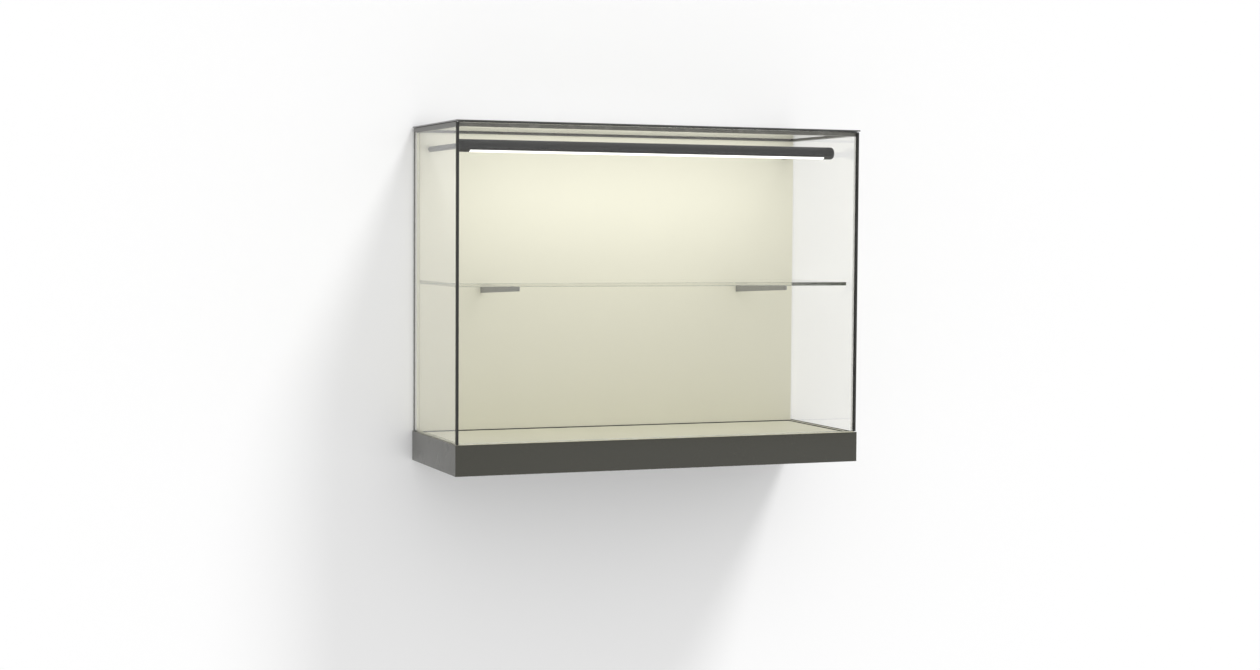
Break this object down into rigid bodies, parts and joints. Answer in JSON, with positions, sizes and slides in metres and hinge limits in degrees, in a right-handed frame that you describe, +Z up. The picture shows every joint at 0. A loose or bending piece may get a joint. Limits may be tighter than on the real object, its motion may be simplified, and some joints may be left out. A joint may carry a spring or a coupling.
{
  "type": "wall mounted showcase",
  "caption": "Wall-hung glass display case on a dark steel base, with a pivoting glass door, a glass shelf on tapered brackets and a turning tube lamp before a cream back.",
  "frame": {"origin": "centre of the four wall fixing holes, on the wall plane", "axes": "+X to the viewer's right, +Y into the wall, +Z up; the door faces -Y"},
  "size_m": [1, 0.36, 0.79],
  "materials": {
    "base_paint": "satin dark grey powder coat",
    "rail_paint": "satin grey powder coat over aluminium",
    "cap_paint": "dark anodised",
    "cream_panel": "fine matt cream paint on steel sheet",
    "rim_paint": "fine matt cream paint over aluminium",
    "cream_deck": "fine matt cream paint on board",
    "clear_glass": "clear, ground and polished edges",
    "lamp_paint": "dark grey anodised",
    "opal_lens": "satin opal",
    "board": "white solder mask",
    "chips": "yellow phosphor",
    "bracket_steel": "mid grey satin paint",
    "zinc": "bright zinc plate",
    "magnet": "nickel plate",
    "black_screw": "black oxide",
    "black_rubber": "matt",
    "pale_silicone": "pale silicone",
    "grey_rubber": "matt grey silicone",
    "white_tape": "white foam bonding tape",
    "bush_bronze": "plain bronze",
    "washer_black": "black nylon",
    "driver_case": "moulded",
    "lock_chrome": "satin chrome",
    "key_brass": "turned brass"
  },
  "bodies": {
    "case": {"back_pan": "cream_panel", "fixing_plates": "zinc", "upright_left": "zinc", "upright_right": "zinc", "panel_posts": "zinc", "panel_magnets": "magnet", "back_panel": "cream_panel", "arm_sockets": "zinc", "pan_bolts": "zinc", "pane_tapes": "white_tape", "base_shell": "base_paint", "base_rim": "rim_paint", "base_cover": "base_paint", "cover_screws": "zinc", "deck_panel": "cream_deck", "deck_seal": "black_rubber", "deck_bearers": "zinc", "led_driver": "driver_case", "terminal_block": "driver_case", "cable_grommet": "black_rubber", "left_glass": "clear_glass", "right_glass": "clear_glass", "setting_blocks": "black_rubber", "top_rail_front": "rail_paint", "top_rail_rear": "rail_paint", "top_rail_left": "rail_paint", "top_rail_right": "rail_paint", "top_glass": "clear_glass", "top_cap": "cap_paint", "cap_screws": "black_screw", "door_seal": "black_rubber", "head_seal": "grey_rubber", "sill_seal": "pale_silicone", "pivot_bushes": "bush_bronze", "shelf_bracket_left": "bracket_steel", "shelf_bracket_right": "bracket_steel", "bracket_bolts": "zinc", "shelf_pads": "black_rubber", "glass_shelf": "clear_glass", "lamp_arm_left": "lamp_paint", "lamp_arm_right": "lamp_paint", "lamp_holder_left": "lamp_paint", "lamp_holder_right": "lamp_paint", "lock_bracket": "zinc", "lock_housing": "lock_chrome", "lock_nut": "zinc"},
    "door": {"door_glass": "clear_glass", "hinge_stile": "cap_paint", "lock_stile": "cap_paint", "pivot_pins": "zinc", "pivot_washer": "washer_black"},
    "lamp": {"lamp_tube": "lamp_paint", "lamp_lens": "opal_lens", "led_board": "board", "led_chips": "chips", "lamp_end_plugs": "lamp_paint"},
    "lock": {"lock_plunger": "lock_chrome", "lock_carrier": "zinc", "lock_bolt": "zinc"},
    "key_plug": {"lock_plug": "key_brass"}
  },
  "joints": [
    {"name": "door_swing", "type": "hinge", "parent": "case", "child": "door", "pos_m": [-0.495, -0.3535, 0], "axis": [0, 0, -1], "range_deg": [0, 110]},
    {"name": "lamp_turn", "type": "hinge", "parent": "case", "child": "lamp", "pos_m": [0, -0.271, 0.314], "axis": [1, 0, 0], "range_deg": [-40, 40]},
    {"name": "lock_push", "type": "slide", "parent": "case", "child": "lock", "axis": [0, 0, 1], "range_m": [0, 0.008], "stiffness_N_per_m": 200, "springref_m": -0.01},
    {"name": "key_turn", "type": "hinge", "parent": "lock", "child": "key_plug", "pos_m": [0.473, -0.3335, -0.42], "axis": [0, 0, -1], "range_deg": [0, 90]}
  ]
}
